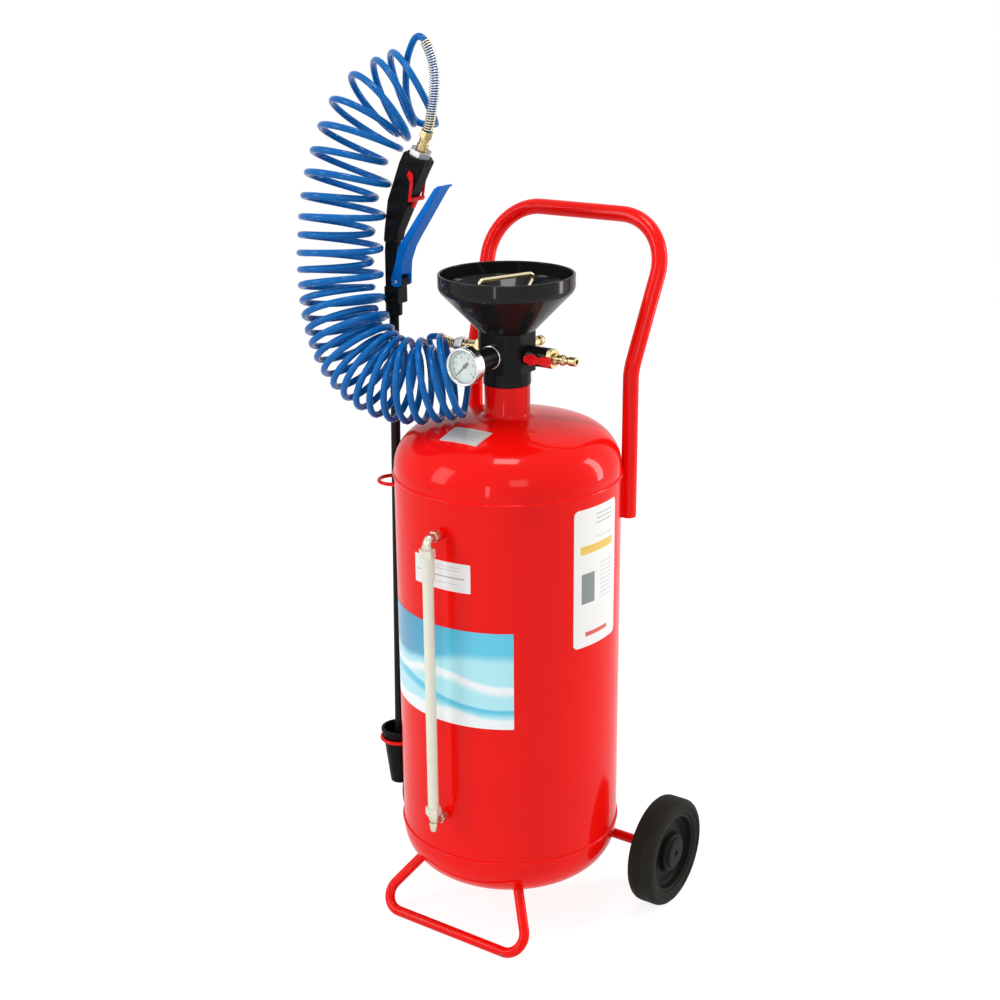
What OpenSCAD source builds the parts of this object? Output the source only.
// Wheeled pressure foam sprayer: a welded steel tank on two wheels and a foot bar, with a filler
// funnel, gauge, valves, level tube, and a spray gun on a lance with its coiled hose.
// Z points up, the floor is z = 0 and the tank's axis is the Z axis. The level tube is at -Y and
// the push handle leans back to +Y.

/* [Tank] */
// Outside diameter of the tank
tank_d = 255; // [248:1:262]
// Thickness of the tank's steel
tank_wall = 2.5; // [1.5:0.1:4]
// Height of the lower seam
seam_z = 106; // [100:1:120]
// Length of the barrel between the seams
barrel_h = 432; // [415:1:450]
// Length of the straight skirt of each head
skirt_h = 6; // [3:0.5:10]
// Depth of each head beyond its skirt
dish_h = 58; // [55:1:66]
// Radius of the knuckle between skirt and dish
knuckle_r = 46; // [35:1:48]
// Radius of the weld bead round each seam
bead_r = 1.8; // [1:0.1:2.5]
// Length of the maker's plate on the top head
plate_w = 48; // [35:1:60]
// Width of the maker's plate
plate_h = 30; // [20:1:36]

/* [Neck and manifold] */
// Outside diameter of the welded neck
neck_d = 51; // [46:1:56]
// Bore of the neck
neck_bore = 40; // [36:1:42]
// Height of the neck above the top head
neck_h = 35; // [28:1:45]
// Diameter of the manifold's lower collar
collar_d = 53; // [50:1:58]
// Height of the manifold's lower collar
collar_h = 15; // [10:1:20]
// Diameter over the manifold's rounded corners
block_d = 63; // [60:1:70]
// Distance from the axis to each flat that carries a port
flat_r = 28; // [26:0.5:29.5]
// Height of the manifold's ported block
block_h = 45; // [42:1:52]
// Height of the ports above the bottom of the block
port_up = 20; // [16:1:22]
// Diameter of the threaded ports
port_d = 13; // [10:0.5:15]
// Bore down the middle of the manifold, for filling
fill_bore = 30; // [26:1:32]

/* [Funnel and filler plug] */
// Outside diameter of the funnel's rim
funnel_d = 150; // [135:1:165]
// Height of the funnel's cone
cone_h = 45; // [38:1:55]
// Height of the upright band above the cone
band_h = 17; // [12:1:22]
// Wall of the funnel
funnel_wall = 3; // [2:0.25:4]
// Diameter of the plug's flange
plug_d = 44; // [38:1:46]
// Thickness of the plug's flange
plug_flange = 9; // [6:0.5:11]
// Diameter of the plug's head
plug_head_d = 22; // [18:1:26]
// Height of the plug's head above the flange
plug_head_h = 17; // [14:1:20]
// Wire of the plug's bail
bail_wire = 4.5; // [3:0.25:5]
// Width of the bail's top bar
bail_w = 80; // [60:1:90]
// Height of the bail above its hole in the head
bail_h = 33; // [25:1:36]
// Turn of the bail about the axis
bail_turn = 69; // [0:1:180]

/* [Gauge] */
// Diameter of the gauge's case
gauge_d = 41; // [36:1:46]
// Depth of the gauge's case with its bezel
gauge_depth = 16; // [12:1:20]
// Length of the black adapter that carries the gauge
adapter_len = 36; // [30:1:44]
// Diameter of the adapter
adapter_d = 24; // [20:1:28]

/* [Air valve] */
// Diameter of the valve's body
valve_d = 22; // [20:1:24]
// Length of the valve's body
valve_len = 28; // [27:1:34]
// Distance along the body to the lever's stem
stem_at = 15; // [14:0.5:16]
// Diameter of the lever's stem
stem_d = 6; // [5:0.25:7]
// Length of the lever's long arm
valve_arm = 24; // [18:1:30]
// Length of the lever's short end
valve_tail = 11; // [8:1:14]
// Size of the air plug's nut across its flats
air_nut = 20; // [18:0.5:22]
// Length of the quick plug beyond its nut
plug_len = 28; // [26:1:34]
// Diameter of the quick plug's barrel
plug_tip_d = 10; // [9:0.5:11]
// Bore of the quick plug
plug_bore = 5; // [3:0.25:6]

/* [Relief valve] */
// Size of the relief valve across its flats
relief_af = 16; // [14:0.5:18]
// Diameter of the pull knob
knob_d = 12; // [10:0.5:15]
// Distance from the manifold's flat to the knob's middle
knob_at = 38; // [36:0.5:44]
// How far the knob pulls out
knob_pull = 3; // [1:0.5:5]

/* [Hose outlet] */
// Size of the outlet fitting across its flats
outlet_af = 22; // [19:0.5:24]
// Length of the outlet fitting
outlet_len = 28; // [24:1:30]
// Size of the hose nut across its flats
hose_nut = 17; // [15:0.5:19]
// Length of the hose nut
hose_nut_len = 10; // [8:0.5:11]

/* [Level tube] */
// Distance from the tank's wall to the tube's axis
level_out = 25; // [22:1:30]
// Height of the upper elbow
level_top = 499; // [480:1:515]
// Height of the lower elbow
level_low = 162; // [150:1:180]
// Outside diameter of the level tube
level_d = 12; // [10:0.5:13]
// Bore of the level tube
level_bore = 9; // [6:0.5:9.5]
// Outside diameter of the tube's nuts
level_nut_d = 18; // [17:0.5:20]

/* [Handle and foot bar] */
// Diameter of the handle's tube
handle_d = 18; // [16:0.5:21]
// Half the distance between the legs
leg_x = 106; // [104:1:110]
// Distance of the legs behind the tank's axis
leg_y = 88; // [86:1:94]
// Height of the legs' lower ends
leg_z = 476; // [440:1:500]
// Height at which the legs lean back
lean_z = 646; // [620:1:670]
// Half the width of the handle at its top
grip_x = 119; // [112:1:126]
// Distance of the top bar behind the tank's axis
grip_y = 152.5; // [145:0.5:165]
// Height of the top bar
grip_z = 807; // [780:1:830]
// Bend radius at the handle's corners
grip_bend = 60; // [45:1:75]
// Bend radius where the legs lean back
lean_bend = 60; // [45:1:80]
// Diameter of the foot bar
foot_d = 12; // [10:0.5:14]
// Half the width of the foot bar
foot_x = 110; // [100:1:120]
// Distance of the foot bar in front of the axis
foot_y = 127; // [120:1:140]
// Half the distance between the foot bar's welded ends
foot_top_x = 68; // [60:1:72]
// Distance of the welded ends in front of the axis
foot_top_y = 84; // [78:1:88]
// Bend radius of the foot bar's corners
foot_bend = 20; // [14:1:28]

/* [Wheels] */
// Diameter of the tyres
wheel_d = 130; // [120:1:140]
// Width of the tyres
tyre_w = 34; // [28:1:40]
// Distance from the axis to the inner face of each tyre
wheel_x = 150; // [146:1:156]
// Distance of the axles behind the tank's axis
axle_y = 83; // [78:1:88]
// Diameter of the stub axles
axle_d = 12; // [10:0.5:14]
// Diameter of the wheel's rim, inside the tyre
rim_d = 96; // [88:1:104]
// Diameter of the wheel's raised hub
hub_d = 48; // [40:1:56]
// Thickness of the wheel's web
web_t = 8; // [5:0.5:12]

/* [Lance] */
// Diameter of the lance
lance_d = 11; // [9:0.5:12]
// Distance of the lance's foot from the tank's axis, along X
lance_x = 150.5; // [149:0.5:154]
// Distance of the lance in front of the axis
lance_y = 22; // [18:1:26]
// Height of the lance's top
lance_top = 716; // [700:1:730]
// Lean of the lance towards the tank
lance_lean = 1.2; // [0.5:0.1:1.4]
// Height of the upper ring
ring_z = 505; // [480:1:520]
// Radius of the upper ring
ring_r = 17.5; // [16:0.25:19]
// Wire of both rings
ring_wire = 4.5; // [3:0.25:5]
// Height of the cup's ring
cup_ring_z = 172; // [165:1:178]
// Height of the cup's bottom
cup_z = 113; // [108:1:118]
// Height of the cup
cup_h = 72; // [68:1:80]
// Diameter of the cup's rim
cup_d = 41; // [38:1:43]
// Diameter of the cup's bottom
cup_foot_d = 24; // [20:1:28]
// Wall of the cup
cup_wall = 2; // [1.5:0.25:3]

/* [Spray gun] */
// Thickness of the grip
grip_t = 20; // [18:1:24]
// Thickness of the neck between the lever's cheeks
throat_t = 13; // [11:0.5:13.5]
// Height of the lever's pin above the lance
pivot_up = 25; // [24:0.5:27]
// Diameter of the lever's pin
pivot_d = 4; // [3:0.25:5]
// Width of the lever
lever_w = 20; // [19:0.5:22]
// Wall of the lever
lever_wall = 2; // [1.5:0.25:2.5]
// Diameter of the ring at the gun's inlet
inlet_d = 30; // [26:1:34]
// Size of the inlet nut across its flats
inlet_nut = 22; // [19:0.5:24]

/* [Hose] */
// Outside diameter of the hose
hose_d = 7.5; // [6:0.25:7.5]
// Radius of the hose's coil
coil_r = 44.5; // [43:0.25:45]
// How far every other turn is drawn in where the coil is tightest
coil_draw = 10.5; // [10:0.1:11]
// Wire of the spring guards
guard_wire = 1.5; // [1:0.1:1.6]
// Number of turns in the gun's spring guard
guard_turns = 36; // [30:1:38]
// Number of turns in the outlet's spring guard
outlet_turns = 9; // [6:1:10]

/* [Hidden] */
$fn = 64;
// Clearances: running fits, pieces that stay put, and bodies that move past each other
run_gap = 0.08;
seat_gap = 0.1;
move_gap = 0.3;
// Room between the hose and the spring guards round it
guard_room = 0.5;
// Overshoot of a cut past the face it opens
cut = 1;
// Sides of the circles that follow the tank's wall
tank_fn = 360;

tank_r = tank_d/2;
seam_top = seam_z + barrel_h;
tank_top = seam_top + skirt_h + dish_h;
tank_low = seam_z - skirt_h - dish_h;
neck_top = tank_top + neck_h;
shoulder_z = neck_top + collar_h;
port_z = shoulder_z + port_up;
block_top = shoulder_z + block_h;
axle_z = wheel_d/2;
rim_z = block_top + cone_h + band_h;
// The funnel's floor, the seal and the plug stand on each other
floor_top = block_top + 4;
seal_h = 1.5;
plug_z = floor_top + seal_h + 2*seat_gap;
bail_z = plug_z + plug_flange + plug_head_h/2 + 1.5;
level_y = tank_r + level_out;
level_end = 10;
level_nut_h = 9;
cup_floor = 3;
lance_low = cup_z + cup_floor + move_gap;

// Height of a dished head above its skirt, at radius x
crown_r = (dish_h*dish_h + (tank_r - knuckle_r)*(tank_r - knuckle_r) - knuckle_r*knuckle_r)
    / (2*(dish_h - knuckle_r));
crown_a = atan2(tank_r - knuckle_r, crown_r - dish_h);
function dish_z(x) = x < crown_r*sin(crown_a)
    ? dish_h - crown_r + sqrt(crown_r*crown_r - x*x)
    : sqrt(knuckle_r*knuckle_r - pow(x - tank_r + knuckle_r, 2));

// Outline of a head from its skirt to radius hole, set inwards by t
function dish_line(t, hole) = concat(
    [for (i = [0:6]) let (a = i*(90 - crown_a)/6)
        [tank_r - knuckle_r + (knuckle_r - t)*cos(a), (knuckle_r - t)*sin(a)]],
    [for (i = [1:6]) let (last = asin(hole/(crown_r - t)), b = crown_a + (last - crown_a)*i/6)
        [(crown_r - t)*sin(b), dish_h - crown_r + (crown_r - t)*cos(b)]]);
function backwards(list) = [for (i = [len(list) - 1:-1:0]) list[i]];

// Vectors, and a smooth curve through a list of points
function unit(v) = v/norm(v);
function reach(p, i) = i < 0 ? 2*p[0] - p[1]
    : i > len(p) - 1 ? 2*p[len(p) - 1] - p[len(p) - 2] : p[i];
function curve(p, t) =
    let (i = min(max(floor(t), 0), len(p) - 2), f = t - i)
    let (a = reach(p, i - 1), b = p[i], c = p[i + 1], d = reach(p, i + 2))
    0.5*(2*b + (c - a)*f + (2*a - 5*b + 4*c - d)*f*f + (3*b - a - 3*c + d)*f*f*f);
function heading(p, t) = unit(curve(p, min(t + 0.01, len(p) - 1)) - curve(p, max(t - 0.01, 0)));

// A coil round a route: turn 0 is on the side that faces the point aim. Every other turn is
// drawn in by draw on that side.
draw_shape = 0.7;
function coil(route, r, from, turns, steps, aim, draw = 0) =
    [for (k = [0:round(turns*steps)]) let (
        turn = from + k/steps,
        t = (len(route) - 1)*(turn - from)/turns,
        ahead = heading(route, t),
        middle = curve(route, t),
        towards = aim - middle,
        inward = unit(towards - (towards*ahead)*ahead),
        drawn = draw*(0.5 - 0.5*cos(180*turn))*pow(0.5 + 0.5*cos(360*turn), draw_shape))
        middle + (r - drawn)*(cos(360*turn)*inward + sin(360*turn)*cross(ahead, inward))];

// Rings of points along a path, and the tube that they make
function steps_of(p) = [for (i = [0:len(p) - 1]) unit(p[min(i + 1, len(p) - 1)] - p[max(i - 1, 0)])];
function level_with(v, ahead) = unit(v - (v*ahead)*ahead);
function carried(dirs, seed) =
    [for (i = 0, v = level_with(seed, dirs[0]); i < len(dirs);
        i = i + 1, v = i < len(dirs) ? level_with(v, dirs[i]) : v) v];

module tube_along(path, width, sides) {
    dirs = steps_of(path);
    out = carried(dirs, [0.31, 0.87, 0.38]);
    last = (len(path) - 1)*sides;
    points = [for (i = [0:len(path) - 1], k = [0:sides - 1])
        path[i] + width/2*(cos(360*k/sides)*out[i] + sin(360*k/sides)*cross(dirs[i], out[i]))];
    walls = [for (i = [0:len(path) - 2], k = [0:sides - 1])
        let (a = i*sides + k, b = i*sides + (k + 1) % sides)
        each [[a, a + sides, b + sides], [a, b + sides, b]]];
    ends = [for (k = [1:sides - 2]) each [[0, k, k + 1], [last, last + k + 1, last + k]]];
    polyhedron(points, concat(walls, ends));
}

// Length of a path up to each of its points
function path_lengths(p) = [for (i = 0, sum = 0; i < len(p);
    sum = sum + (i + 1 < len(p) ? norm(p[i + 1] - p[i]) : 0), i = i + 1) sum];

// Least gap of a tube to itself, between points over four diameters apart along its path
function own_gap(p, width) = let (s = path_lengths(p))
    min([for (i = [0:len(p) - 2], j = [i + 1:len(p) - 1])
        s[j] - s[i] > 4*width ? norm(p[i] - p[j]) : 1000]) - width;

// Points at equal distances along a path, from one length to another
function evenly(p, from, to, count) = let (s = path_lengths(p))
    [for (k = [0:count]) let (at = from + (to - from)*k/count)
        [for (c = [0:2]) lookup(at, [for (i = [0:len(p) - 1]) [s[i], p[i][c]]])]];

// Round rod along straight runs, which reach a little into slightly fatter bends
bend_swell = 0.3;
bend_lap = 1;
// Turn of each run about itself, which keeps its seam off the bend's
run_turn = 10;

module rod_run(a, b, width) {
    run = b - a;
    translate(a) rotate([0, acos(run[2]/norm(run)), atan2(run[1], run[0])]) rotate(run_turn)
        cylinder(d = width, h = norm(run));
}

module rod_bend(a, b, c, r, width) {
    into = unit(b - a);
    away = unit(c - b);
    turn = acos(into*away);
    side = level_with(away, into);
    up = cross(into, side);
    hub = b - into*r*tan(turn/2) + side*r;
    multmatrix([
        [-side[0], into[0], up[0], hub[0]],
        [-side[1], into[1], up[1], hub[1]],
        [-side[2], into[2], up[2], hub[2]]])
        rotate_extrude(angle = turn) translate([r, 0]) circle(d = width + bend_swell);
}

function bend_trim(a, b, c, r) = r*tan(acos(unit(b - a)*unit(c - b))/2);

// Rod through all the points, with bends[i] at inner point i + 1
module rod(points, bends, width) {
    n = len(points);
    trims = [for (i = [0:n - 1]) i == 0 || i == n - 1 ? 0
        : bend_trim(points[i - 1], points[i], points[i + 1], bends[i - 1]) - bend_lap];
    for (i = [0:n - 2]) {
        ahead = unit(points[i + 1] - points[i]);
        rod_run(points[i] + ahead*trims[i], points[i + 1] - ahead*trims[i + 1], width);
    }
    for (i = [1:n - 2]) rod_bend(points[i - 1], points[i], points[i + 1], bends[i - 1], width);
}

// Common shapes
module ring(outer, inner, h) {
    difference() {
        cylinder(d = outer, h = h);
        translate([0, 0, -cut]) cylinder(d = inner, h = h + 2*cut);
    }
}

// The tank's wall as a solid round, with the given room round it
module tank_round(z, h, room = seat_gap) {
    translate([0, 0, z]) cylinder(r = tank_r + room, h = h, $fn = tank_fn);
}

module hex(af, h) {
    cylinder(d = af/cos(30), h = h, $fn = 6);
}

module hoop(r, wire) {
    rotate_extrude() translate([r, 0]) circle(d = wire, $fn = 24);
}

// Frame of a manifold port: Z runs outwards from the flat, turned about the tank's axis
module at_port(turn) {
    rotate([0, 0, turn]) translate([0, -flat_r, port_z]) rotate([90, 0, 0]) children();
}

module dished_solid(grow) {
    rotate_extrude($fn = tank_fn) polygon(concat([[0, -skirt_h], [tank_r + grow, -skirt_h]],
        dish_line(-grow, 0)));
}

module head_shell(hole) {
    rotate_extrude($fn = tank_fn) polygon(concat([[tank_r, -skirt_h]], dish_line(0, hole),
        backwards(dish_line(tank_wall, hole)), [[tank_r - tank_wall, -skirt_h]]));
}

module low_head_frame() {
    translate([0, 0, seam_z - skirt_h]) mirror([0, 0, 1]) children();
}

// Welded tank -------------------------------------------------------------
level_hole = 6;

module seam_bead(z) {
    translate([0, 0, z]) rotate_extrude($fn = tank_fn) translate([tank_r, 0])
        intersection() {
            circle(r = bead_r, $fn = 24);
            translate([0, -bead_r]) square([bead_r, 2*bead_r]);
        }
}

module tank_barrel() {
    color("#d5170f") difference() {
        union() {
            translate([0, 0, seam_z]) ring(tank_d, tank_d - 2*tank_wall, barrel_h, $fn = tank_fn);
            seam_bead(seam_z + bead_r);
            seam_bead(seam_top - bead_r);
        }
        for (z = [level_low, level_top])
            translate([0, -tank_r + 2*tank_wall, z]) rotate([90, 0, 0])
                cylinder(d = level_hole, h = 4*tank_wall);
    }
}

module tank_top_head() {
    color("#d5170f") translate([0, 0, seam_top + skirt_h]) head_shell(neck_d/2 + seat_gap/2);
}

module tank_bottom_head() {
    color("#d5170f") low_head_frame() head_shell(0);
}

neck_weld = 5;
neck_in = 8;

module neck_tube() {
    weld_z = seam_top + skirt_h + dish_z(neck_d/2);
    drop = dish_z(neck_d/2) - dish_z(neck_d/2 + neck_weld);
    color("#d5170f") {
        translate([0, 0, tank_top - neck_in]) ring(neck_d, neck_bore, neck_h + neck_in);
        translate([0, 0, weld_z + seat_gap]) rotate_extrude()
            polygon([[neck_d/2, 0], [neck_d/2 + neck_weld, -drop], [neck_d/2, neck_weld]]);
    }
}

plate_t = 0.8;
plate_at = 74;

// The plate is bent to the head, so it is a slice of a shell on the crown
module data_plate() {
    plate_gap = seat_gap;
    color("silver") intersection() {
        translate([0, 0, tank_top - crown_r]) difference() {
            sphere(r = crown_r + plate_gap + plate_t, $fn = 180);
            sphere(r = crown_r + plate_gap, $fn = 180);
        }
        translate([-plate_w/2 - 4, -plate_at - plate_h/2, tank_top - dish_h])
            cube([plate_w, plate_h, 2*dish_h]);
    }
}

// Handle, foot bar and axles ----------------------------------------------
module handle() {
    color("#d5170f") rod([
        [-leg_x, leg_y, leg_z], [-leg_x, leg_y, lean_z], [-grip_x, grip_y, grip_z],
        [grip_x, grip_y, grip_z], [leg_x, leg_y, lean_z], [leg_x, leg_y, leg_z]],
        [lean_bend, grip_bend, grip_bend, lean_bend], handle_d);
}

lug_h = 54;
lug_t = 10;

// Plates that fill the space between each leg and the tank's wall
module handle_plates() {
    leg_a = atan2(leg_y, leg_x);
    color("#d5170f") for (side = [-1, 1]) difference() {
        rotate([0, 0, side > 0 ? leg_a : 180 - leg_a])
            translate([tank_r - 2, -lug_t/2, leg_z])
            cube([norm([leg_x, leg_y]) - tank_r + 2, lug_t, lug_h]);
        tank_round(leg_z - cut, lug_h + 2*cut);
        translate([side*leg_x, leg_y, leg_z - cut])
            cylinder(d = handle_d + 2*seat_gap, h = lug_h + 2*cut, $fn = tank_fn);
    }
}

foot_in = 14;

module foot_bar() {
    low = foot_d/2;
    corner = [foot_x, -foot_y, low];
    top = [foot_top_x, -foot_top_y, seam_z - skirt_h - dish_z(norm([foot_top_x, foot_top_y]))];
    end = top + foot_in*unit(top - corner);
    flip = [-1, 1, 1];
    color("#d5170f") difference() {
        rod([[for (i = [0:2]) end[i]*flip[i]], [for (i = [0:2]) corner[i]*flip[i]], corner, end],
            [foot_bend, foot_bend], foot_d);
        low_head_frame() dished_solid(seat_gap);
    }
}

// Each axle starts inside the head's outline, where it is cut to the head
axle_from = 40;
collar_w = 3;

module axles() {
    axle_to = wheel_x + tyre_w/2 + hub_len/2 - 1;
    collar_from = wheel_x + tyre_w/2 - hub_len/2 - move_gap - collar_w;
    color("#d5170f") for (side = [-1, 1]) difference() {
        translate([0, axle_y, axle_z]) rotate([0, 90*side, 0]) {
            translate([0, 0, axle_from]) cylinder(d = axle_d, h = axle_to - axle_from);
            translate([0, 0, collar_from]) cylinder(d = axle_d + 6, h = collar_w);
        }
        low_head_frame() dished_solid(seat_gap);
    }
}

// Lance rest --------------------------------------------------------------
lean_x = tan(lance_lean);
function lance_at(z) = [-lance_x + (z - lance_low)*lean_x, -lance_y, z];

// The point at height z that lies in the lance's direction from the axis, off by r
function off_tank(z, r) = unit([lance_at(z)[0], lance_at(z)[1], 0])*r + [0, 0, z];

module lance_frame() {
    translate(lance_at(lance_low)) rotate([0, lance_lean, 0]) children();
}

module wall_ring(z, r) {
    centre = off_tank(z, tank_r + seat_gap + r + ring_wire/2);
    color("#d5170f") difference() {
        union() {
            translate(centre) hoop(r, ring_wire);
            rotate([0, 0, atan2(-lance_y, -lance_x)])
                translate([tank_r - 1, -5, z - ring_wire/2 - 1]) cube([4.2, 10, ring_wire + 2]);
        }
        tank_round(z - 10, 20);
        translate(centre - [0, 0, 10]) cylinder(r = r - ring_wire/2, h = 20);
    }
}

lip = 1.5;
lip_h = 4;
cup_top_r = cup_d/2 - lip/4;
function cup_r(z) = cup_foot_d/2 + (z - cup_z)/(cup_h - lip_h)*(cup_top_r - cup_foot_d/2);
cup_ring_r = cup_r(cup_ring_z) + seat_gap + ring_wire/2;

module lance_ring() {
    wall_ring(ring_z, ring_r);
}

module cup_ring() {
    wall_ring(cup_ring_z, cup_ring_r);
}

module lance_cup() {
    r1 = cup_foot_d/2;
    r2 = cup_d/2;
    centre = off_tank(cup_ring_z, tank_r + seat_gap + cup_ring_r + ring_wire/2);
    color("#1d1d1f") translate([centre[0], centre[1], cup_z]) rotate_extrude() polygon([
        [0, 0], [r1, 0], [cup_top_r, cup_h - lip_h], [r2 + lip, cup_h - lip_h], [r2 + lip, cup_h],
        [r2 - cup_wall, cup_h], [r1 - cup_wall, cup_floor], [0, cup_floor]]);
}

// Manifold and filler -----------------------------------------------------
spigot_h = 12;
port_spigot = 8;

module manifold() {
    color("#1b1b1c") difference() {
        union() {
            translate([0, 0, neck_top - spigot_h])
                cylinder(d = neck_bore - 2*seat_gap, h = spigot_h + cut);
            translate([0, 0, neck_top]) cylinder(d = collar_d, h = collar_h);
            translate([0, 0, shoulder_z]) intersection() {
                cylinder(d = block_d, h = block_h);
                translate([-flat_r, -flat_r, 0]) cube([2*flat_r, 2*flat_r, block_h]);
            }
        }
        translate([0, 0, neck_top - spigot_h - cut])
            cylinder(d = fill_bore, h = block_top - neck_top + spigot_h + 2*cut);
        for (turn = [0:90:270])
            at_port(turn) translate([0, 0, fill_bore/2 - flat_r - cut])
                cylinder(d = port_d, h = flat_r - fill_bore/2 + 2*cut);
    }
}

module funnel() {
    r1 = block_d/2;
    r2 = funnel_d/2;
    t = funnel_wall;
    foot = floor_top - block_top;
    slope = (r2 - r1)/cone_h;
    color("#18181a") translate([0, 0, block_top + seat_gap]) rotate_extrude() polygon([
        [fill_bore/2 + seat_gap, 0], [r1, 0], [r2, cone_h], [r2, cone_h + band_h],
        [r2 - t, cone_h + band_h], [r2 - t, cone_h + 1], [r1 - t + slope*foot, foot],
        [fill_bore/2 + seat_gap, foot]]);
}

module filler_seal() {
    color("#2b2b2b") translate([0, 0, floor_top + 2*seat_gap])
        ring(plug_d - 4, fill_bore + 1, seal_h);
}

thread_h = 14;

module filler_plug() {
    color("#b78b3c") difference() {
        translate([0, 0, plug_z + 2*seat_gap]) {
            cylinder(d = plug_d, h = plug_flange - 2*seat_gap);
            translate([0, 0, -thread_h]) cylinder(d = fill_bore - 2*run_gap, h = thread_h + cut);
            translate([0, 0, plug_flange - 2*seat_gap - cut])
                cylinder(d = plug_head_d, h = plug_head_h + cut);
        }
        translate([0, 0, bail_z]) rotate([0, 0, bail_turn]) rotate([0, 90, 0])
            cylinder(d = bail_wire + 2*seat_gap, h = plug_head_d + 2*cut, center = true);
    }
}

module plug_handle() {
    inner = 2.5;
    knee = plug_head_d/2 + 5;
    bend = bail_wire*1.1;
    color("#c8b98a") translate([0, 0, bail_z]) rotate([0, 0, bail_turn])
        rod([[-inner, 0, 0], [-knee, 0, 0], [-bail_w/2, 0, bail_h], [bail_w/2, 0, bail_h],
            [knee, 0, 0], [inner, 0, 0]], [bend, bend, bend, bend], bail_wire);
}

// Gauge -------------------------------------------------------------------
lock_h = 5;
case_z = lock_h + adapter_len;
case_h = gauge_depth - 2;
dial_z = case_z + case_h - 5;

module gauge_lock_ring() {
    color("#c9c9cc") at_port(0) translate([0, 0, seat_gap])
        ring(adapter_d + 2, port_d + 1.5, lock_h - seat_gap);
}

module gauge_adapter() {
    color("#1b1b1c") at_port(0) {
        translate([0, 0, -port_spigot]) cylinder(d = port_d - 2*seat_gap, h = port_spigot + lock_h + cut);
        translate([0, 0, lock_h + seat_gap]) cylinder(d = adapter_d, h = adapter_len - 2*seat_gap);
    }
}

module gauge_case() {
    color("#d3d3d6") at_port(0) translate([0, 0, case_z]) difference() {
        cylinder(d = gauge_d, h = case_h);
        translate([0, 0, 2]) cylinder(d = gauge_d - 3, h = case_h);
    }
}

module gauge_dial() {
    color("white") at_port(0) translate([0, 0, dial_z])
        ring(gauge_d - 3 - 2*seat_gap, needle_shaft + 2*run_gap, 1);
}

needle_shaft = 2;
needle_z = dial_z + 1 + move_gap;

module gauge_needle() {
    long = gauge_d/2 - 6;
    color("#151515") at_port(0) {
        translate([0, 0, dial_z - 3]) cylinder(d = needle_shaft, h = 4.5 + move_gap);
        translate([0, 0, needle_z]) cylinder(d = 5, h = 0.8);
        translate([0, 0, needle_z]) rotate([0, 0, 135]) linear_extrude(0.8)
            polygon([[-1, -5], [1, -5], [0.3, long], [-0.3, long]]);
    }
}

module gauge_glass() {
    color("#dfe9ee") at_port(0) translate([0, 0, case_z + case_h - 1.5])
        cylinder(d = gauge_d - 3 - 2*seat_gap, h = 1.5);
}

module gauge_bezel() {
    color("#d3d3d6") at_port(0) translate([0, 0, case_z + case_h + seat_gap])
        ring(gauge_d, gauge_d - 6, gauge_depth - case_h - seat_gap);
}

// Air inlet valve ---------------------------------------------------------
ball_d = 15.5;
flow_d = 8;
chamber_d = ball_d + 2*run_gap;
chamber_from = stem_at - ball_d/2 - move_gap;
boss_top = valve_d/2 + 3;
stem_head = boss_top + 5;
air_spigot = 4;

module air_valve_body() {
    color("#1a1a1b") at_port(90) difference() {
        union() {
            translate([0, 0, -port_spigot]) cylinder(d = port_d - 2*seat_gap, h = port_spigot + cut);
            translate([0, 0, seat_gap]) cylinder(d = valve_d, h = valve_len - seat_gap);
            translate([0, 0, stem_at]) rotate([0, -90, 0]) cylinder(d = stem_d + 6, h = boss_top);
        }
        translate([0, 0, -port_spigot - cut]) cylinder(d = flow_d, h = valve_len);
        translate([0, 0, chamber_from]) cylinder(d = chamber_d, h = valve_len);
        translate([0, 0, stem_at]) rotate([0, -90, 0])
            cylinder(d = stem_d + 2*run_gap, h = boss_top + cut);
    }
}

tongue = 2.5;

module air_valve_ball() {
    color("#c4c6c8") at_port(90) translate([0, 0, stem_at]) difference() {
        sphere(d = ball_d);
        cylinder(d = flow_d, h = 2*ball_d, center = true);
        translate([-ball_d/2 - cut, -tongue/2 - seat_gap, -ball_d])
            cube([tongue + cut, tongue + 2*seat_gap, 2*ball_d]);
    }
}

module air_valve_stem() {
    color("#b99043") at_port(90) translate([0, 0, stem_at]) rotate([0, -90, 0]) difference() {
        translate([0, 0, ball_d/2 - tongue + seat_gap])
            cylinder(d = stem_d, h = stem_head - ball_d/2 + tongue - seat_gap);
        for (side = [-1, 1]) translate([-stem_d, side > 0 ? tongue/2 : -stem_d - tongue/2, 0])
            cube([2*stem_d, stem_d, ball_d/2 + seat_gap]);
    }
}

arm_t = 4.5;

module air_valve_lever() {
    color("#d8201c") at_port(90) translate([-boss_top - move_gap, 0, stem_at]) rotate([0, -90, 0])
        difference() {
            union() {
                cylinder(d = stem_d + 6, h = stem_head - boss_top - move_gap);
                hull() {
                    cylinder(d = 9, h = arm_t, $fn = 32);
                    translate([valve_arm - 5, 0, 0]) cylinder(d = 11, h = arm_t, $fn = 32);
                }
                hull() {
                    cylinder(d = 9, h = arm_t, $fn = 32);
                    translate([5 - valve_tail, 0, 0]) cylinder(d = 10, h = arm_t, $fn = 32);
                }
            }
            translate([0, 0, -cut]) cylinder(d = stem_d + 2*seat_gap, h = 20);
        }
}

module air_lever_screw() {
    color("#b9babd") at_port(90) translate([-stem_head - seat_gap, 0, stem_at]) rotate([0, -90, 0])
        cylinder(d1 = stem_d + 2, d2 = stem_d, h = 2);
}

air_nut_h = 6;

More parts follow.
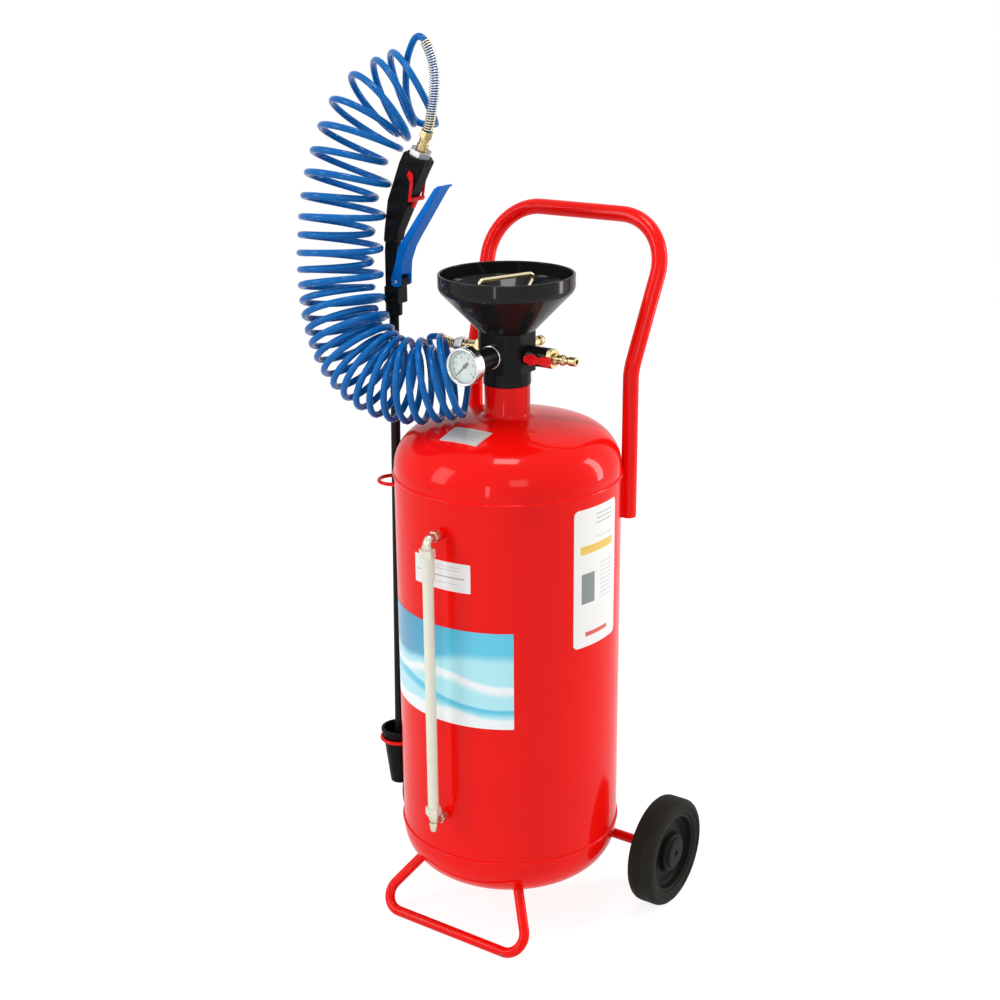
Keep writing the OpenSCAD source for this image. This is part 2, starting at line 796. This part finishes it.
module air_plug_nut() {
    color("#c2a55a") at_port(90) difference() {
        union() {
            translate([0, 0, valve_len - air_spigot])
                cylinder(d = chamber_d - 2*seat_gap, h = air_spigot + cut);
            translate([0, 0, valve_len + seat_gap]) hex(air_nut, air_nut_h);
        }
        translate([0, 0, valve_len - air_spigot - cut]) cylinder(d = flow_d, h = 20);
    }
}

plug_ridge = 1;
plug_barrel = 9;

// Quick plug: a shoulder, a ridge and a barrel, with grooves between them
module air_plug() {
    from = valve_len + air_nut_h + 2*seat_gap;
    end = from + plug_len;
    r = plug_tip_d/2;
    seat_r = flow_d/2 - seat_gap;
    color("#cbb06a") at_port(90) rotate_extrude() polygon([
        [plug_bore/2, from - air_spigot], [seat_r, from - air_spigot], [seat_r, from],
        [r + 1.5, from], [r + 1.5, from + 3], [r, from + 4], [r, from + 8],
        [r + plug_ridge, from + 9], [r + plug_ridge, from + 12], [r - 1, from + 14],
        [r - 1, end - plug_barrel - 1], [r, end - plug_barrel], [r, end - 1], [r - 1, end],
        [plug_bore/2, end]]);
}

// Relief valve ------------------------------------------------------------
relief_hex = 9;
relief_rod = 3;
relief_flow = 6;
relief_wall = 3;
stop_h = 2;
relief_barrel = knob_at - knob_d/2 - 3;

module relief_valve() {
    color("#b78b3c") at_port(180) difference() {
        union() {
            translate([0, 0, -port_spigot]) cylinder(d = port_d - 2*seat_gap, h = port_spigot + cut);
            translate([0, 0, seat_gap]) hex(relief_af, relief_hex);
            translate([0, 0, relief_hex]) cylinder(d = relief_af - 3, h = relief_barrel - relief_hex);
        }
        translate([0, 0, -port_spigot - cut])
            cylinder(d = relief_flow, h = relief_barrel - relief_wall + port_spigot + cut);
        translate([0, 0, relief_barrel - relief_wall - cut])
            cylinder(d = relief_rod + 2*run_gap, h = relief_wall + 2*cut);
    }
}

// The knob's rod ends in a stop, which meets the valve's end wall when the knob is pulled
module relief_knob() {
    stop_z = relief_barrel - relief_wall - knob_pull - move_gap - stop_h;
    color("#c79a44") at_port(180) {
        translate([0, 0, knob_at]) sphere(d = knob_d);
        translate([0, 0, stop_z + stop_h - cut]) cylinder(d = relief_rod, h = knob_at - stop_z - stop_h);
        translate([0, 0, stop_z]) cylinder(d = relief_flow - 1, h = stop_h);
    }
}

// Hose outlet -------------------------------------------------------------
outlet_hex = 9;

module hose_outlet() {
    color("#c2a55a") at_port(270) difference() {
        union() {
            translate([0, 0, -port_spigot]) cylinder(d = port_d - 2*seat_gap, h = port_spigot + cut);
            translate([0, 0, seat_gap]) hex(outlet_af, outlet_hex);
            translate([0, 0, outlet_hex]) cylinder(d = hose_nut - 2, h = outlet_len - outlet_hex);
        }
        translate([0, 0, -port_spigot - cut]) cylinder(d = 6, h = outlet_len + 20);
    }
}

module outlet_nut() {
    color("#c9c9cc") at_port(270) translate([0, 0, outlet_len + seat_gap]) difference() {
        hex(hose_nut, hose_nut_len - seat_gap);
        translate([0, 0, -cut]) cylinder(d = 5, h = hose_nut_len + 2*cut);
    }
}

outlet_face = [-flat_r - outlet_len - hose_nut_len, 0, port_z];

// Level tube --------------------------------------------------------------
boss_d = 13;
boss_h = 5;

module level_bosses() {
    color("#d5170f") for (z = [level_low, level_top]) difference() {
        translate([0, -tank_r + 5, z]) rotate([90, 0, 0]) cylinder(d = boss_d, h = boss_h + 5);
        tank_round(z - boss_d, 2*boss_d);
        translate([0, -tank_r, z]) rotate([90, 0, 0])
            cylinder(d = level_hole, h = 2*boss_h + 2*cut);
    }
}

elbow_d = 11;

// Elbow from the boss to the tube; way is 1 where the tube leaves upwards and -1 downwards
module level_elbow(z, way) {
    color("#c0a468") translate([0, -level_y, z]) {
        rotate([-90, 0, 0]) cylinder(d = elbow_d - 2, h = level_out - boss_h - seat_gap);
        sphere(d = elbow_d + 1);
        mirror([0, 0, way > 0 ? 0 : 1]) cylinder(d = elbow_d, h = level_end);
    }
}

module level_elbow_top() {
    level_elbow(level_top, -1);
}

module level_elbow_low() {
    level_elbow(level_low, 1);
    color("#c0a468") translate([0, -level_y, level_low - 11]) cylinder(d1 = 7, d2 = elbow_d - 1, h = 7);
}

module level_nut(z) {
    color("#cfcfc6") translate([0, -level_y, z]) difference() {
        rotate([0, 0, 30]) hex(level_nut_d*cos(30), level_nut_h);
        translate([0, 0, -cut]) cylinder(d = level_d + 2*seat_gap, h = level_nut_h + 2*cut);
    }
}

tube_low = level_low + level_end + seat_gap;
tube_top = level_top - level_end - seat_gap;

module level_nuts() {
    level_nut(tube_top - level_nut_h);
    level_nut(tube_low);
}

module level_tube() {
    color("#e9ecdf") translate([0, -level_y, tube_low]) ring(level_d, level_bore, tube_top - tube_low);
}

sleeve_h = 26;

module level_sleeve() {
    color("#eeeee6") translate([0, -level_y, tube_top - level_nut_h - seat_gap - sleeve_h])
        ring(level_d + 3, level_d + 2*seat_gap, sleeve_h);
}

// Lance and spray gun -----------------------------------------------------
tip_h = 10;
nut_h = 14;
lance_len = (lance_top - lance_low)/cos(lance_lean);

module lance() {
    color("#17181a") lance_frame() translate([0, 0, tip_h])
        ring(lance_d, lance_d - 4, lance_len - tip_h - move_gap);
}

module lance_nozzle() {
    color("#26272a") lance_frame() difference() {
        cylinder(d1 = lance_d - 3, d2 = lance_d + 1, h = tip_h - seat_gap);
        translate([0, 0, -cut]) cylinder(d = 2, h = tip_h + 2*cut);
    }
}

module lance_nut() {
    color("#222326") lance_frame() translate([0, 0, lance_len - nut_h - move_gap])
        ring(lance_d + 8, lance_d + 2*seat_gap, nut_h);
}

// Frame of the gun: origin at the lance's top, X towards the tank, Z up
module gun_frame() {
    translate(lance_at(lance_top)) children();
}

// Plates of the gun's side outline, spread equally on both sides of its middle plane
module side_plate(points, thick) {
    rotate([90, 0, 0]) linear_extrude(thick, center = true) polygon(points);
}

grip_lean = 22.6;
pivot = [11, 0, pivot_up];
inlet = [41, 0, 164];
block_top_up = 19;
swivel_len = 29;

// A cylinder across the gun at the point p
module cross_pin(p, d, h) {
    translate(p) rotate([90, 0, 0]) cylinder(d = d, h = h, center = true);
}

module gun_body() {
    color("#161719") gun_frame() difference() {
        union() {
            translate([-7, -9, 0]) cube([20, 18, block_top_up]);
            side_plate([[-7, block_top_up - cut], [5.5, block_top_up - cut], [6, 58], [11, 78],
                [-3.5, 84], [-6.5, 58]], throat_t);
            side_plate([[4, pivot_up - 7], [pivot[0] + 3, pivot_up - 7], [pivot[0] + 6, pivot_up - 2],
                [pivot[0] + 6, pivot_up + 3], [pivot[0] + 3, pivot_up + 6], [4, pivot_up + 10]], throat_t);
            side_plate([[-5.5, 68], [-3.4, 84], [2, 115], [19.5, 157], [27, inlet[2] + 5.8],
                [inlet[0] + 14, inlet[2] - 5.8], [47, 145], [12.4, 79.5], [9, 68]], grip_t);
            translate(inlet) rotate([0, grip_lean, 0]) translate([0, 0, -8])
                cylinder(d = inlet_d, h = 8);
        }
        cross_pin(pivot, pivot_d + 2*run_gap, grip_t + 2*cut);
        cross_pin(catch_pivot, catch_pin + 2*run_gap, grip_t + 2*cut);
        translate(inlet) rotate([0, grip_lean, 0]) translate([0, 0, -14]) cylinder(d = 12, h = 16);
    }
}

module gun_inlet_nut() {
    color("#8f9194") gun_frame() translate(inlet) rotate([0, grip_lean, 0]) difference() {
        union() {
            translate([0, 0, seat_gap]) hex(inlet_nut, 7);
            translate([0, 0, -10]) cylinder(d = 12 - 2*seat_gap, h = 10 + cut);
        }
        translate([0, 0, -10 - cut]) cylinder(d = 7, h = 30);
    }
}

module gun_swivel() {
    color("#b9a56c") gun_frame() translate(inlet) rotate([0, grip_lean, 0]) {
        difference() {
            union() {
                translate([0, 0, 7 + 2*seat_gap]) cylinder(d = 13, h = 6);
                translate([0, 0, 13]) cylinder(d = 11, h = 8);
                translate([0, 0, 21]) hex(13, 8);
                translate([0, 0, 2]) cylinder(d = 7 - 2*seat_gap, h = 6);
            }
            translate([0, 0, 1]) cylinder(d = 4, h = 30);
        }
    }
}

swivel_way = [sin(grip_lean), 0, cos(grip_lean)];
swivel_face = lance_at(lance_top) + inlet + swivel_len*swivel_way;

module lever_pin() {
    color("#9a9ca0") gun_frame() cross_pin(pivot, pivot_d, lever_w + 1);
}

// Side outline of the lever's cheeks, from the pin to the flared tip
module gun_lever() {
    outer = [[18, 22], [18.5, 34], [20.5, 48], [27, 64], [34, 75], [73.5, 132]];
    inner = [[67, 132], [26, 78], [15.5, 64], [9, 40], [5, 30], [5, 22.5], [7.5, 20], [15, 20]];
    wall = lever_wall;
    color("#0f7fe0") gun_frame() difference() {
        union() {
            side_plate(concat(outer, inner), lever_w);
            side_plate([[73.5, 132], [77, 133], [76, 135], [69, 135], [67, 132]], lever_w);
        }
        side_plate([[18.5 - wall, 34], [20.5 - wall, 48.5], [27 - wall*0.9, 65], [34 - wall*0.8, 76.2],
            [74 - wall*1.2, 134], [64, 140], [0, 60], [0, 10], [20, 10], [20, 34]],
            lever_w - 2*wall);
        cross_pin(pivot, pivot_d + 2*run_gap, lever_w + 2*cut);
    }
}

catch_pivot = [36, 0, 145];
catch_pin = 4;
catch_t = 3;

// Red fork round the grip: two arms, a bar across the front and a tongue below it
module safety_catch() {
    arm_y = grip_t/2 + move_gap;
    color("#d8201c") gun_frame() translate(catch_pivot) rotate([0, grip_lean + 5, 0]) {
        for (side = [-1, 1]) translate([0, side > 0 ? arm_y : -arm_y - catch_t, 0])
            translate([0, catch_t, 0]) rotate([90, 0, 0]) linear_extrude(catch_t)
                polygon([[-3, -4], [-3, 3.5], [3, 3.5], [7, -1], [14, -27], [10.2, -27], [5, -14]]);
        translate([10.2, -arm_y - catch_t, -27]) cube([3.4, 2*(arm_y + catch_t), 4.4]);
        translate([10.2, -3, -36]) cube([3.4, 6, 10]);
        rotate([90, 0, 0]) cylinder(d = catch_pin, h = 2*arm_y + cut, center = true);
    }
}

// Hose and its spring guards ----------------------------------------------
// Middle of the coil from the gun to the outlet, at equal numbers of turns
coil_route = [
    [-122, 14, 950], [-156, -26, 922], [-172, -53, 856], [-176, -65, 792], [-173, -71, 740],
    [-160, -78, 698], [-140, -80, 666], [-110, -75, 646], [-74, -62, 642], [-38, -42, 650]];
coil_aim = [-58, -37, 718];
coil_from = -0.25;
coil_turns = 28.875;
coil_steps = 8;
coil_skip = 2;
coil_stop = 1;
// The hose on its way from the gun's swivel into the coil, and from the coil to the outlet
guard_route = [swivel_face, [-79, -22, 930], [-75, -22, 954], [-76.5, -22, 978],
    [-87, -22, 1000]];
lead_in = [[-100, -20, 1002], [-118, -10, 984], [-132, 3, 962], [-138, 12, 935], [-128, 14, 912]];
tail_out = [[-55, 2, 632], [-78, 12, 636], [-98, 13, 648], [-110, 8, 663], [-106, 2, 675]];
outlet_route = [[-91, 0, 677.5], [-80, 0, 673.5], outlet_face];

// The coil without its first and last stretches, which the lead-in and the tail replace
coil_line = coil(coil_route, coil_r, coil_from, coil_turns, coil_steps, coil_aim, coil_draw);
coil_kept = [for (i = [coil_skip:len(coil_line) - 1 - coil_stop]) coil_line[i]];
lead_line = concat(guard_route, lead_in, [coil_kept[0], coil_kept[1]]);
kept_end = len(coil_kept) - 1;
tail_line = concat([coil_kept[kept_end - 1], coil_kept[kept_end]], tail_out, outlet_route);
end_steps = 3;

hose_line = concat(
    [swivel_face, swivel_face + hose_d*swivel_way],
    [for (i = [end_steps:(len(lead_line) - 2)*end_steps - 1]) curve(lead_line, i/end_steps)],
    coil_kept,
    [for (i = [end_steps + 1:(len(tail_line) - 1)*end_steps - 2]) curve(tail_line, i/end_steps)],
    [outlet_face - [hose_d, 0, 0], outlet_face]);

module hose() {
    color("#1668b8") tube_along(hose_line, hose_d, 6);
}

guard_r = hose_d/2 + guard_room + guard_wire/2;
guard_steps = 8;
guard_len = 96;
outlet_guard_len = 25;

// A spring on a face, round the hose from there to the given length of its line
function guard_line(line, length, turns, away) =
    coil(evenly(line, guard_wire/2 + seat_gap, length, round(length/8)), guard_r, 0, turns,
        guard_steps, away);

gun_guard_line = guard_line(hose_line, guard_len, guard_turns, [-80, 400, 950]);
outlet_guard_line = guard_line(backwards(hose_line), outlet_guard_len, outlet_turns,
    [-80, 400, 676]);

module gun_spring_guard() {
    color("#b9bec4") tube_along(gun_guard_line, guard_wire, 6);
}

module outlet_spring_guard() {
    color("#b9bec4") tube_along(outlet_guard_line, guard_wire, 6);
}

echo(hose_gap = own_gap(hose_line, hose_d), hose_length = path_lengths(hose_line)[len(hose_line) - 1]);
echo(guard_gap = own_gap(gun_guard_line, guard_wire));
echo(outlet_gap = own_gap(outlet_guard_line, guard_wire));

// Wheels ------------------------------------------------------------------
hub_len = 26;
clip_t = 1.2;
cap_t = 2;
wheel_mid = wheel_x + tyre_w/2;

// Frame of a wheel: origin on the axle at the tyre's inner face, Z outwards
module wheel_frame(side) {
    translate([side*wheel_x, axle_y, axle_z]) rotate([0, 90*side, 0]) children();
}

module tyre(side) {
    r = wheel_d/2;
    bead = rim_d/2 + seat_gap;
    shoulder = 9;
    color("#232323") wheel_frame(side) rotate_extrude(convexity = 4) polygon(concat(
        [[bead, 3]],
        [for (a = [-80:20:0]) [r - shoulder + shoulder*cos(a), shoulder + shoulder*sin(a)]],
        [for (a = [0:20:80])
            [r - shoulder + shoulder*cos(a), tyre_w - shoulder + shoulder*sin(a)]],
        [[bead, tyre_w - 3]]));
}

module wheel(side) {
    r = rim_d/2;
    bore = axle_d/2 + run_gap;
    mid = tyre_w/2;
    color("#1c1c1e") wheel_frame(side) rotate_extrude() polygon([
        [bore, mid - hub_len/2], [hub_d/2, mid - hub_len/2], [hub_d/2, mid - web_t/2],
        [r - 6, mid - web_t/2], [r - 4, 4], [r, 4], [r, tyre_w - 4], [r - 4, tyre_w - 4],
        [r - 6, mid + web_t/2], [hub_d/2, mid + web_t/2], [hub_d/2 - 1, mid + hub_len/2],
        [bore + 5, mid + hub_len/2], [bore + 5, mid + hub_len/2 - clip_t - 3],
        [bore, mid + hub_len/2 - clip_t - 3]]);
}

// Clips that hold the wheels on their axles, in a pocket under the cap
module axle_clips() {
    color("#a8a9ac") for (side = [-1, 1]) wheel_frame(side)
        translate([0, 0, tyre_w/2 + hub_len/2 - clip_t - 3 + move_gap])
        ring(axle_d + 6, axle_d + 2*seat_gap, clip_t);
}

module hub_cap(side) {
    color("#141415") wheel_frame(side) translate([0, 0, tyre_w/2 + hub_len/2 + seat_gap])
        difference() {
            cylinder(d1 = hub_d - 10, d2 = hub_d - 16, h = cap_t + 1);
            translate([0, 0, -cut]) cylinder(d = axle_d + 2, h = cap_t);
        }
}

tank_barrel();
tank_top_head();
tank_bottom_head();
neck_tube();
data_plate();
handle();
handle_plates();
foot_bar();
axles();
axle_clips();
lance_ring();
cup_ring();
lance_cup();
manifold();
funnel();
filler_seal();
filler_plug();
plug_handle();
gauge_lock_ring();
gauge_adapter();
gauge_case();
gauge_dial();
gauge_needle();
gauge_glass();
gauge_bezel();
air_valve_body();
air_valve_ball();
air_valve_stem();
air_valve_lever();
air_lever_screw();
air_plug_nut();
air_plug();
relief_valve();
relief_knob();
hose_outlet();
outlet_nut();
outlet_spring_guard();
level_bosses();
level_elbow_top();
level_elbow_low();
level_nuts();
level_tube();
level_sleeve();
lance();
lance_nozzle();
lance_nut();
gun_body();
gun_inlet_nut();
gun_swivel();
lever_pin();
gun_lever();
safety_catch();
gun_spring_guard();
hose();
tyre(-1);  // tyre_left
tyre(1);  // tyre_right
wheel(-1);  // wheel_left
wheel(1);  // wheel_right
hub_cap(-1);  // hub_cap_left
hub_cap(1);  // hub_cap_right
